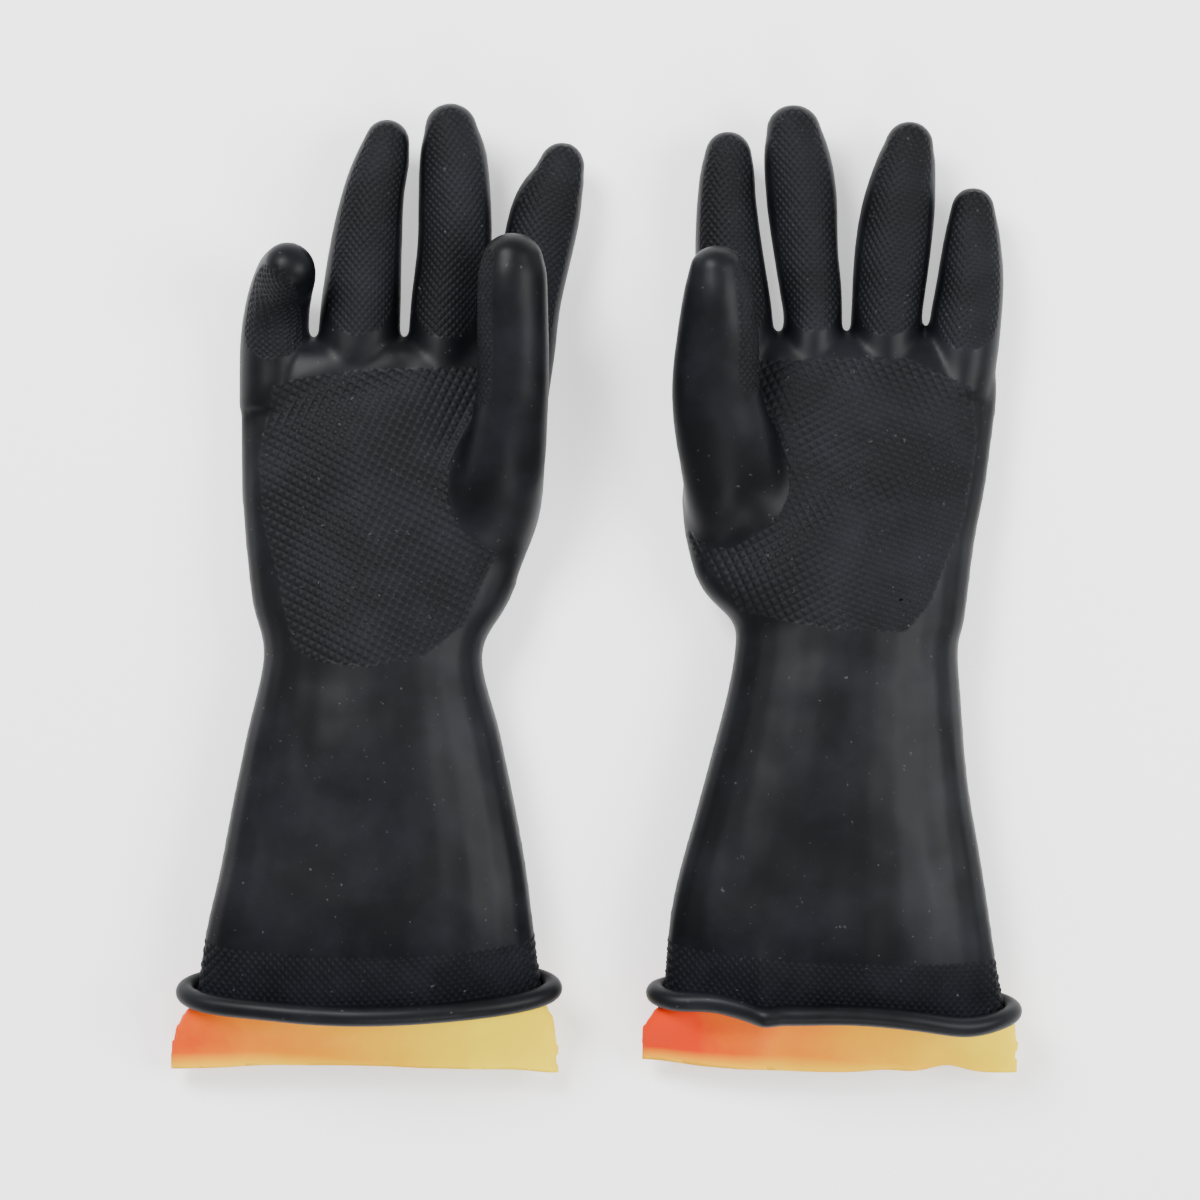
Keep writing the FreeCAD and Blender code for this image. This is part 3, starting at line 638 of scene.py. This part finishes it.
def grip_on(co, glove, limbs, form):
    """For each place: how much of it is grip, and the diamonds' height there."""
    side = FORMS[glove]["side"]
    joint = joint_place(f"{glove}_wrist_bend")
    flat = (co[:, :2] - joint[:2]) / MM
    shares = {name: limb.around(co) for name, limb in limbs.items()}
    digit_share = np.min([shares[digit][2] for digit in DIGITS], axis=0)
    top = smoothstep(co[:, 2], 20 * MM, 24 * MM)
    thumb_side = shares["thumb"][2] < np.minimum(shares["arm"][2], 1.5)
    palm = smoothstep(edge_distance(flat, FORMS[glove]["palm"]), -0.6, 0.8) * top * ~thumb_side
    height = diamonds(flat[:, 0] * -side, flat[:, 1], PALM_GROOVES, form.palm_grip / MM)
    place, ahead = end_plane(glove)
    from_end = -(co - place) @ ahead
    band = smoothstep(form.band - from_end, -0.4 * MM, 0.6 * MM)
    band *= smoothstep(from_end, -9 * MM, 0.5 * MM)
    band *= smoothstep(co[:, 2], 9 * MM, 12 * MM)
    spacing = form.finger_grip / MM
    band_height = diamonds(flat[:, 0] * -side, from_end / MM, BAND_GROOVES, spacing)
    amount = np.maximum(palm, band)
    height = np.where(band > palm, band_height, height)
    for digit in DIGITS:
        along, turn, share, radius = shares[digit]
        limb = limbs[digit]
        turned, half, past, short = THUMB_PATCH if digit == "thumb" else FINGER_PATCH
        root = joint_place(f"{glove}_{digit}_root_bend")
        start = np.interp(root[1], limb.centres[:, 1], limb.distance) + past * MM
        end = limb.distance[-1] - short * MM
        off = turn + side * turned
        reach = half * radius
        middle = np.clip(along, start + reach, end - reach)
        gone = np.hypot(off * radius, along - middle) - reach
        mine = (share < 1.45) & (share <= digit_share + 1e-9)
        if digit != "thumb":
            mine &= ~thumb_side
        patch = smoothstep(-gone, -0.5 * MM, 0.6 * MM) * mine
        found = diamonds(off * radius / MM * -side, along / MM, DIGIT_GROOVES, spacing)
        height = np.where(patch > amount, found, height)
        amount = np.maximum(amount, patch)
    return amount, height


def finer_where_gripping(mesh, amount):
    """Divides the outer faces that carry grip, for the diamonds to be pressed into."""
    note(mesh, "grip", amount.astype(np.float32))
    bm = bmesh.new()
    bm.from_mesh(mesh)
    grip = bm.verts.layers.float["grip"]
    outside = bm.verts.layers.float["outside"]
    chosen = set()
    for face in bm.faces:
        outer = all(vert[outside] > 0.5 for vert in face.verts)
        if outer and any(vert[grip] > 0.02 for vert in face.verts):
            chosen.update(face.edges)
    bmesh.ops.subdivide_edges(bm, edges=list(chosen), cuts=2, use_grid_fill=True)
    bm.to_mesh(mesh)
    bm.free()


# ---- the skins -----------------------------------------------------------------------------------
def black_skin(glove, form):
    limbs = limbs_of(glove)
    mesh = grown(limbs.values(), form.surface_step, SKIN_ROUNDS)
    thumb_eased_in(mesh, limbs)
    move_to(mesh, lying(places(mesh), glove))
    opened(mesh, *end_plane(glove))
    divided(mesh, glove, limbs)
    mesh = given_thickness(mesh, form.ply)
    amount, _ = grip_on(places(mesh), glove, limbs, form)
    finer_where_gripping(mesh, amount)
    co = places(mesh)
    note(mesh, "lie", co.astype(np.float32), kind="FLOAT_VECTOR")
    place, ahead = end_plane(glove)
    note(mesh, "from_end", ((place - co) @ ahead / MM).astype(np.float32))
    amount, height = grip_on(co, glove, limbs, form)
    outside = noted(mesh, "outside")
    amount *= outside > 0.5
    note(mesh, "grip", amount.astype(np.float32))
    # The diamonds' height, which the black rubber paints as a highlight on their tops.
    note(mesh, "relief", (height * amount).astype(np.float32))
    rise = amount * (height - 0.5) * form.grip_depth
    co += outward(mesh) * rise[:, None]
    co[:, 2] = np.maximum(co[:, 2], 0.2 * MM)
    move_to(mesh, co)
    return mesh


def lining_skin(glove, form):
    inset = form.ply + form.ply_gap
    limbs = limbs_of(glove, inset)
    shape = FORMS[glove]
    stations = [station for station in shape["arm"] if -110 < station[1] < 110]
    mouth = list(reversed(shape["lip"]))
    sleeve = [(x, y, z, w - inset / MM, h - inset / MM) for x, y, z, w, h in stations]
    inner = Limb(mouth + sleeve, joint_place(f"{glove}_wrist_bend"), square=True)
    skins = [inner] + [limbs[digit] for digit in DIGITS]
    mesh = grown(skins, form.lining_step, LINING_ROUNDS)
    move_to(mesh, lying(places(mesh), glove))
    joint = joint_place(f"{glove}_wrist_bend")
    lip_end = joint + np.array([0, shape["lip_end"] * MM, 0])
    opened(mesh, lip_end, np.array([0.012 * shape["side"], -1.0, 0.0]))
    divided(mesh, glove, limbs)
    mesh = given_thickness(mesh, form.lining_ply)
    co = places(mesh)
    beyond = (joint[1] - co[:, 1]) / MM - 123
    co[:, 1] += smoothstep(beyond, 10, 27) * uneven(co * [1, 0, 0], 22 * MM, 9) * 0.6 * MM
    for across, width, forward in shape["lip_waves"]:
        bump = np.exp(-(((co[:, 0] - joint[0]) / MM - across) / width) ** 2)
        co[:, 1] += smoothstep(beyond, 8, 27) * bump * forward * MM
    crumpled = smoothstep(beyond, 4, 12) * smoothstep(co[:, 2], 10 * MM, 14 * MM)
    co[:, 2] += crumpled * uneven(co, 9 * MM, 4) * 0.5 * MM
    move_to(mesh, co)
    note(mesh, "lie", co.astype(np.float32), kind="FLOAT_VECTOR")
    across = (co[:, 0] - joint[0]) / (70 * MM) - shape["redder"]
    note(mesh, "across", across.astype(np.float32))
    note(mesh, "beyond", beyond.astype(np.float32))
    return mesh


def bead_piece(glove, form, material):
    """The rolled edge: a ring, drawn out to the oval that the black ply ends in."""
    shift, *_, half_width = FORMS[glove]["end"]
    place, ahead = end_plane(glove)
    centre = place + np.array([shift, 0, 0]) * MM
    bm = bmesh.new()
    turned = Matrix.Translation((1, 0, 0)) @ Matrix.Rotation(math.pi / 2, 4, "X")
    ring = bmesh.ops.create_circle(bm, segments=BEAD_SIDES, radius=BEAD_RING, matrix=turned)["verts"]
    edges = list({edge for vert in ring for edge in vert.link_edges})
    bmesh.ops.spin(bm, geom=ring + edges, cent=(0, 0, 0), axis=(0, 0, 1), angle=2 * math.pi,
                   steps=BEAD_STEPS, use_merge=True)
    bmesh.ops.recalc_face_normals(bm, faces=bm.faces)
    mesh = bpy.data.meshes.new(f"{glove}_bead")
    bm.to_mesh(mesh)
    bm.free()
    co = places(mesh)
    turn = np.arctan2(co[:, 1], co[:, 0])
    out = (np.hypot(co[:, 0], co[:, 1]) - 1) / BEAD_RING
    off = co[:, 2] / BEAD_RING
    width, height = half_width * MM, BEAD_HALF_HEIGHT * MM
    across, above = np.cos(turn) * width, np.sin(turn) * height
    normal = np.stack([np.cos(turn) / width, np.sin(turn) / height], axis=1)
    normal /= np.linalg.norm(normal, axis=1)[:, None]
    upward = unit(UP - ahead * (UP @ ahead))
    sideways = np.cross(upward, ahead)
    radius = form.bead_radius
    co = (centre + sideways * (across + normal[:, 0] * out * radius)[:, None]
          + upward * (above + normal[:, 1] * out * radius)[:, None] + ahead * (off * radius)[:, None])
    co = lying(co, glove)
    move_to(mesh, co)
    note(mesh, "lie", co.astype(np.float32), kind="FLOAT_VECTOR")
    note(mesh, "from_end", np.full(len(co), 40.0, np.float32))
    mesh.materials.append(material)
    for face in mesh.polygons:
        face.use_smooth = True
    if sum(face.area * face.normal.dot(face.center - Vector(centre)) for face in mesh.polygons) < 0:
        mesh.flip_normals()
    piece = shown(f"{glove}_bead", mesh)
    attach(piece, f"{glove}_cuff")
    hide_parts(f"{glove}_rolled_bead")


# ---- materials -----------------------------------------------------------------------------------
def linked(tree, source, target):
    tree.links.new(source, target)


def node(tree, kind, **settings):
    made = tree.nodes.new(kind)
    for key, value in settings.items():
        if key.startswith("in_"):
            made.inputs[key[3:].replace("_", " ")].default_value = value
        else:
            setattr(made, key, value)
    return made


def mottle_group():
    """Soft cloudiness and small specks, from a place."""
    group = bpy.data.node_groups.new("Mottle", "ShaderNodeTree")
    group.interface.new_socket("Place", in_out="INPUT", socket_type="NodeSocketVector")
    group.interface.new_socket("Cloud", in_out="OUTPUT", socket_type="NodeSocketFloat")
    group.interface.new_socket("Speck", in_out="OUTPUT", socket_type="NodeSocketFloat")
    start = group.nodes.new("NodeGroupInput")
    end = group.nodes.new("NodeGroupOutput")
    cloud = node(group, "ShaderNodeTexNoise", in_Scale=38.0, in_Detail=5.0, in_Roughness=0.55)
    grain = node(group, "ShaderNodeTexNoise", in_Scale=520.0, in_Detail=2.0, in_Roughness=0.5)
    speck = node(group, "ShaderNodeMapRange", interpolation_type="SMOOTHSTEP",
                 in_From_Min=0.70, in_From_Max=0.78)
    linked(group, start.outputs["Place"], cloud.inputs["Vector"])
    linked(group, start.outputs["Place"], grain.inputs["Vector"])
    linked(group, grain.outputs["Fac"], speck.inputs["Value"])
    linked(group, cloud.outputs["Fac"], end.inputs["Cloud"])
    linked(group, speck.outputs["Result"], end.inputs["Speck"])
    return group


def started(name):
    material = bpy.data.materials.new(name)
    material.use_nodes = True
    tree = material.node_tree
    shader = tree.nodes["Principled BSDF"]
    place = node(tree, "ShaderNodeAttribute", attribute_name="lie")
    mottle = tree.nodes.new("ShaderNodeGroup")
    mottle.node_tree = bpy.data.node_groups.get("Mottle") or mottle_group()
    linked(tree, place.outputs["Vector"], mottle.inputs["Place"])
    return material, tree, shader, mottle


def mixed(tree, share, first, second):
    """A colour between two, each a colour or a socket."""
    mix = tree.nodes.new("ShaderNodeMix")
    mix.data_type = "RGBA"
    linked(tree, share, mix.inputs["Factor"])
    for socket, value in ((mix.inputs[6], first), (mix.inputs[7], second)):
        if isinstance(value, bpy.types.NodeSocket):
            linked(tree, value, socket)
        else:
            socket.default_value = (*value, 1.0)
    return mix.outputs[2]


def ranged(tree, value, low, high, to_low, to_high):
    made = node(tree, "ShaderNodeMapRange", in_From_Min=low, in_From_Max=high, in_To_Min=to_low,
                in_To_Max=to_high)
    linked(tree, value, made.inputs["Value"])
    return made.outputs["Result"]


def black_rubber(colours):
    material, tree, shader, mottle = started("Black rubber")
    relief = node(tree, "ShaderNodeAttribute", attribute_name="relief")
    grip = node(tree, "ShaderNodeAttribute", attribute_name="grip")
    scuffed = ranged(tree, mottle.outputs["Cloud"], 0.42, 0.75, 0.0, 1.0)
    tone = mixed(tree, scuffed, colours.black, colours.scuff_and_painted_highlight)
    # Painted highlight: the diamonds' raised tops are lightened towards the scuffed colour, standing in for
    # the light they catch.
    painted_diamond_highlight = ranged(tree, relief.outputs["Fac"], 0.3, 1.0, 0.0, 0.35)
    tone = mixed(tree, painted_diamond_highlight, tone, colours.scuff_and_painted_highlight)
    dusty = ranged(tree, mottle.outputs["Speck"], 0.0, 1.0, 0.0, 0.5)
    tone = mixed(tree, dusty, tone, colours.dust)
    linked(tree, tone, shader.inputs["Base Color"])
    linked(tree, ranged(tree, grip.outputs["Fac"], 0.0, 1.0, 0.44, 0.6), shader.inputs["Roughness"])
    from_end = node(tree, "ShaderNodeAttribute", attribute_name="from_end")
    shine = ranged(tree, from_end.outputs["Fac"], 6.0, 40.0, 0.035, 0.12)
    linked(tree, shine, shader.inputs["Specular IOR Level"])
    return material


def orange_rubber(colours):
    material, tree, shader, mottle = started("Orange rubber")
    across = node(tree, "ShaderNodeAttribute", attribute_name="across")
    beyond = node(tree, "ShaderNodeAttribute", attribute_name="beyond")
    cloud = ranged(tree, mottle.outputs["Cloud"], 0.3, 0.7, -0.12, 0.12)
    place = node(tree, "ShaderNodeMath", operation="ADD")
    linked(tree, across.outputs["Fac"], place.inputs[0])
    linked(tree, cloud, place.inputs[1])
    past_red = ranged(tree, place.outputs["Value"], -1.05, -0.62, 0.0, 1.0)
    tone = mixed(tree, past_red, colours.red, colours.orange)
    yellow = node(tree, "ShaderNodeMath", operation="MAXIMUM", use_clamp=True)
    linked(tree, ranged(tree, place.outputs["Value"], -0.5, 0.6, 0.0, 1.0), yellow.inputs[0])
    linked(tree, ranged(tree, beyond.outputs["Fac"], 22.0, 27.5, 0.0, 0.6), yellow.inputs[1])
    tone = mixed(tree, yellow.outputs["Value"], tone, colours.yellow)
    linked(tree, tone, shader.inputs["Base Color"])
    shader.inputs["Roughness"].default_value = 0.55
    shader.inputs["Specular IOR Level"].default_value = 0.03
    return material


# ---- operators, panel and stage ------------------------------------------------------------------
def made_material(name, maker):
    return bpy.data.materials.get(name) or maker(bpy.context.scene.glove_colours)


class GloveMaker:
    """What the two glove operators share."""
    bl_options = {"REGISTER", "UNDO"}
    glove = ""

    def execute(self, context):
        form = context.scene.glove_form
        black = made_material("Black rubber", black_rubber)
        orange = made_material("Orange rubber", orange_rubber)
        taken_apart(black_skin(self.glove, form), self.glove, "black", black)
        taken_apart(lining_skin(self.glove, form), self.glove, "lining", orange)
        bead_piece(self.glove, form, black)
        return {"FINISHED"}


class GLOVES_OT_right(GloveMaker, bpy.types.Operator):
    """Builds the right glove"""
    bl_idname = "gloves.right"
    bl_label = "Right Glove"
    glove = "right"


class GLOVES_OT_left(GloveMaker, bpy.types.Operator):
    """Builds the left glove"""
    bl_idname = "gloves.left"
    bl_label = "Left Glove"
    glove = "left"


class GLOVES_OT_stage(bpy.types.Operator):
    """Adds the floor, the lights and the camera"""
    bl_idname = "gloves.stage"
    bl_label = "Stage"
    bl_options = {"REGISTER", "UNDO"}

    def execute(self, context):
        scene = context.scene
        bm = bmesh.new()
        bmesh.ops.create_grid(bm, x_segments=1, y_segments=1, size=3.0)
        mesh = bpy.data.meshes.new("floor")
        bm.to_mesh(mesh)
        bm.free()
        floor = shown("floor", mesh)
        paint = bpy.data.materials.new("Floor")
        paint.use_nodes = True
        shader = paint.node_tree.nodes["Principled BSDF"]
        shader.inputs["Base Color"].default_value = (0.94, 0.94, 0.95, 1.0)
        shader.inputs["Roughness"].default_value = 0.7
        shader.inputs["Emission Color"].default_value = (1.0, 1.0, 1.0, 1.0)
        shader.inputs["Emission Strength"].default_value = 0.6
        mesh.materials.append(paint)

        world = bpy.data.worlds.new("Studio")
        world.use_nodes = True
        world.node_tree.nodes["Background"].inputs["Color"].default_value = (1.0, 1.0, 1.0, 1.0)
        world.node_tree.nodes["Background"].inputs["Strength"].default_value = 0.7
        scene.world = world
        for name, place, size, power in (("key", (-0.7, 0.9, 1.5), 0.7, 62),
                                         ("fill", (1.1, 0.1, 1.2), 0.8, 30),
                                         ("rim", (0.2, -1.2, 0.9), 0.7, 10)):
            light = bpy.data.lights.new(name, "AREA")
            light.size = size
            light.energy = power
            lamp = bpy.data.objects.new(name, light)
            lamp.location = place
            lamp.rotation_euler = Vector(place).to_track_quat("Z", "Y").to_euler()
            scene.collection.objects.link(lamp)

        camera = bpy.data.cameras.new("camera")
        camera.sensor_width = 36.0
        camera.lens = 128.8
        holder = bpy.data.objects.new("camera", camera)
        holder.location = (0.0019, -0.0035, 1.6)
        scene.collection.objects.link(holder)
        scene.camera = holder
        return {"FINISHED"}


class GLOVES_PT_panel(bpy.types.Panel):
    """Sizes, colours and builders of the gloves"""
    bl_label = "Insulating Gloves"
    bl_idname = "GLOVES_PT_panel"
    bl_space_type = "VIEW_3D"
    bl_region_type = "UI"
    bl_category = "Gloves"

    def draw(self, context):
        for group in (context.scene.glove_form, context.scene.glove_colours):
            box = self.layout.box()
            for key in group.__annotations__:
                box.prop(group, key)
        for operator in ("gloves.right", "gloves.left", "gloves.stage"):
            self.layout.operator(operator)


CLASSES = (GloveForm, GloveColours, GLOVES_OT_right, GLOVES_OT_left, GLOVES_OT_stage, GLOVES_PT_panel)


def register():
    for cls in CLASSES:
        bpy.utils.register_class(cls)
    bpy.types.Scene.glove_form = bpy.props.PointerProperty(type=GloveForm)
    bpy.types.Scene.glove_colours = bpy.props.PointerProperty(type=GloveColours)


def unregister():
    del bpy.types.Scene.glove_colours
    del bpy.types.Scene.glove_form
    for cls in reversed(CLASSES):
        bpy.utils.unregister_class(cls)


def main():
    register()
    bpy.ops.gloves.right()
    bpy.ops.gloves.left()
    bpy.ops.gloves.stage()


if __name__ == "__main__":
    main()
